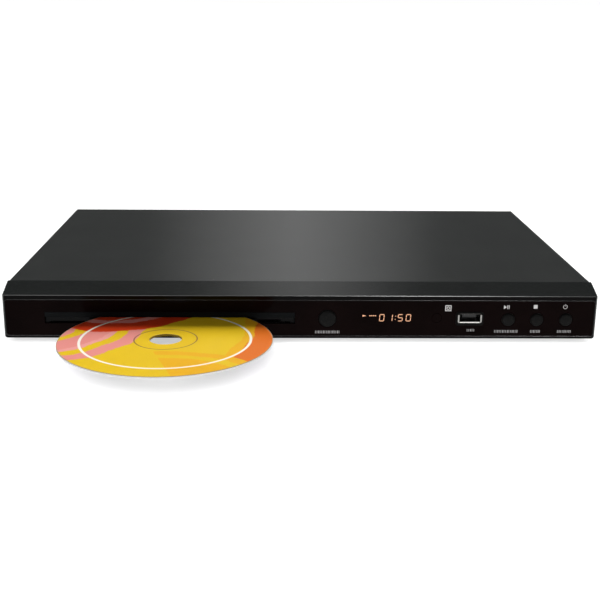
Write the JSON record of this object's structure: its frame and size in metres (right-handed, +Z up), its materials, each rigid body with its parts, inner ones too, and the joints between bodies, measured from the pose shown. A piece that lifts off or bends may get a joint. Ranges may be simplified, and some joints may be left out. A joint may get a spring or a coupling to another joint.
{
  "type": "disc player",
  "caption": "Slim black and grey disc player with a glossy front, round buttons, a front socket and a sliding tray that stands part way out under a printed disc.",
  "frame": {"origin": "on the surface it stands on, under the middle of the footprint of player, disc and rear jacks", "axes": "+X to the right as seen from the front, +Y from the front to the rear, +Z up"},
  "size_m": [0.3574, 0.342, 0.0364],
  "materials": {
    "galvanised_steel": "satin galvanised sheet",
    "rear_paint": "satin grey paint",
    "cover_paint": "fine satin dark grey paint",
    "panel_plastic": "satin black moulding",
    "window_gloss": "polished black",
    "trim_plastic": "satin dark grey",
    "felt": "short felt",
    "foot_rubber": "matt black rubber",
    "screw_steel": "zinc plated",
    "button_plastic": "satin black",
    "display_plastic": "dark smoked",
    "receiver_plastic": "dark epoxy",
    "bezel_plastic": "dark moulding",
    "shell_metal": "plated sheet",
    "contact_plastic": "black moulding",
    "green_board": "green solder mask",
    "brown_board": "brown paper laminate",
    "switch_plastic": "grey moulding with steel top",
    "ribbon_plastic": "white film",
    "chip_plastic": "black epoxy",
    "cooler_metal": "extruded",
    "winding_tape": "yellow tape over ferrite",
    "capacitor_sleeve": "shrink sleeve",
    "fuse_glass": "clear with steel caps",
    "inlet_plastic": "black moulding",
    "jack_metal": "nickel plated",
    "socket_plastic": "black moulding",
    "loader_plastic": "dark grey moulding",
    "bridge_steel": "satin steel sheet",
    "clamper_plastic": "off-white moulding",
    "magnet_ferrite": "sintered ferrite",
    "tray_plastic": "satin dark grey",
    "disc_print": "printed lacquer over polycarbonate",
    "gear_plastic": "natural acetal",
    "belt_rubber": "smooth black rubber",
    "traverse_plastic": "dark grey moulding",
    "bush_rubber": "soft rubber",
    "turntable_rubber": "black moulding with rubber ring",
    "sled_plastic": "dark glass-filled moulding",
    "lens_glass": "coated lens in its holder",
    "rod_steel": "ground steel",
    "screw_brass": "rolled lead screw"
  },
  "bodies": {
    "root": {"base_chassis": "galvanised_steel", "rear_panel": "rear_paint", "top_cover": "cover_paint", "front_panel": "panel_plastic", "front_window": "window_gloss", "mouth_trim": "trim_plastic", "dust_lip": "felt", "feet": "foot_rubber", "foot_screws": "screw_steel", "cover_screws": "screw_steel", "display_module": "display_plastic", "eye_lens": "window_gloss", "eye_receiver": "receiver_plastic", "usb_bezel": "bezel_plastic", "usb_shell": "shell_metal", "usb_tongue": "contact_plastic", "front_board": "green_board", "tact_switches": "switch_plastic", "front_ribbon": "ribbon_plastic", "main_board": "green_board", "main_chips": "chip_plastic", "heat_sink": "cooler_metal", "power_board": "brown_board", "transformer": "winding_tape", "capacitors": "capacitor_sleeve", "fuse": "fuse_glass", "mains_inlet": "inlet_plastic", "rca_rings": "jack_metal", "rca_housing": "socket_plastic", "hdmi_socket": "shell_metal", "scart_socket": "socket_plastic", "loader_frame": "loader_plastic", "loader_screws": "screw_steel", "clamp_bridge": "bridge_steel", "loading_motor": "bridge_steel", "drive_belt": "belt_rubber", "loader_board": "green_board"},
    "tray": {"tray": "tray_plastic"},
    "disc": {"disc": "disc_print"},
    "tray_gear": {"tray_gear": "gear_plastic"},
    "pulley_gear": {"pulley_gear": "gear_plastic"},
    "motor_pulley": {"motor_pulley": "gear_plastic"},
    "cam_slider": {"cam_slider": "gear_plastic"},
    "traverse": {"traverse_frame": "traverse_plastic", "traverse_deck": "bridge_steel", "damper_bushes": "bush_rubber", "spindle_motor": "bridge_steel", "guide_rods": "rod_steel", "sled_motor": "bridge_steel"},
    "turntable": {"turntable": "turntable_rubber"},
    "pickup": {"pickup_sled": "sled_plastic", "pickup_lens": "lens_glass"},
    "lead_screw": {"lead_screw": "screw_brass"},
    "clamper": {"clamper": "clamper_plastic", "clamper_magnet": "magnet_ferrite"},
    "open_button": {"open_button": "button_plastic"},
    "play_button": {"play_button": "button_plastic"},
    "stop_button": {"stop_button": "button_plastic"},
    "power_button": {"power_button": "button_plastic"}
  },
  "joints": [
    {"name": "tray_slide", "type": "slide", "parent": "root", "child": "tray", "axis": [0, 1, 0], "range_m": [-0.026, 0.112]},
    {"name": "disc_spin", "type": "hinge", "parent": "tray", "child": "disc", "pos_m": [-0.077, -0.111, 0.0164], "axis": [0, 0, 1], "continuous": true},
    {"name": "tray_gear_spin", "type": "hinge", "parent": "root", "child": "tray_gear", "pos_m": [-0.021, -0.015, 0.012], "axis": [0, 0, 1], "range_deg": [-974, 270]},
    {"name": "pulley_gear_spin", "type": "hinge", "parent": "root", "child": "pulley_gear", "pos_m": [-0.017, -0.03049, 0.01], "axis": [0, 0, 1], "range_deg": [-808, 2920]},
    {"name": "motor_pulley_spin", "type": "hinge", "parent": "root", "child": "motor_pulley", "pos_m": [0.011, -0.03049, 0.009], "axis": [0, 0, 1], "range_deg": [-3555, 12847]},
    {"name": "traverse_lift", "type": "hinge", "parent": "root", "child": "traverse", "pos_m": [-0.077, 0.091, 0.0115], "axis": [-1, 0, 0], "range_deg": [0, 2]},
    {"name": "cam_slide", "type": "slide", "parent": "root", "child": "cam_slider", "axis": [1, 0, 0], "range_m": [0, 0.0181]},
    {"name": "turntable_spin", "type": "hinge", "parent": "traverse", "child": "turntable", "pos_m": [-0.077, 0.00089, 0.01316], "axis": [0, -0.0349, 0.9994], "continuous": true},
    {"name": "pickup_slide", "type": "slide", "parent": "traverse", "child": "pickup", "axis": [0, 0.9994, 0.0349], "range_m": [0, 0.034]},
    {"name": "lead_screw_spin", "type": "hinge", "parent": "traverse", "child": "lead_screw", "pos_m": [-0.0465, 0.04906, 0.00914], "axis": [0, 0.9994, 0.0349], "range_deg": [-60, 4200]},
    {"name": "clamper_spin", "type": "hinge", "parent": "root", "child": "clamper", "pos_m": [-0.077, 0.001, 0.02], "axis": [0, 0, 1], "continuous": true},
    {"name": "open_press", "type": "slide", "parent": "root", "child": "open_button", "axis": [0, 1, 0], "range_m": [0, 0.0008], "stiffness_N_per_m": 500},
    {"name": "play_press", "type": "slide", "parent": "root", "child": "play_button", "axis": [0, 1, 0], "range_m": [0, 0.0008], "stiffness_N_per_m": 500},
    {"name": "stop_press", "type": "slide", "parent": "root", "child": "stop_button", "axis": [0, 1, 0], "range_m": [0, 0.0008], "stiffness_N_per_m": 500},
    {"name": "power_press", "type": "slide", "parent": "root", "child": "power_button", "axis": [0, 1, 0], "range_m": [0, 0.0008], "stiffness_N_per_m": 500}
  ],
  "couplings": [
    {"joint": "tray_gear_spin", "follows": "tray_slide", "rad_per_m": -142.86},
    {"joint": "pulley_gear_spin", "follows": "tray_slide", "rad_per_m": 428.57},
    {"joint": "motor_pulley_spin", "follows": "tray_slide", "rad_per_m": 1885.7},
    {"joint": "cam_slide", "follows": "traverse_lift", "m_per_rad": 0.51566},
    {"joint": "lead_screw_spin", "follows": "pickup_slide", "rad_per_m": 2094.4}
  ]
}
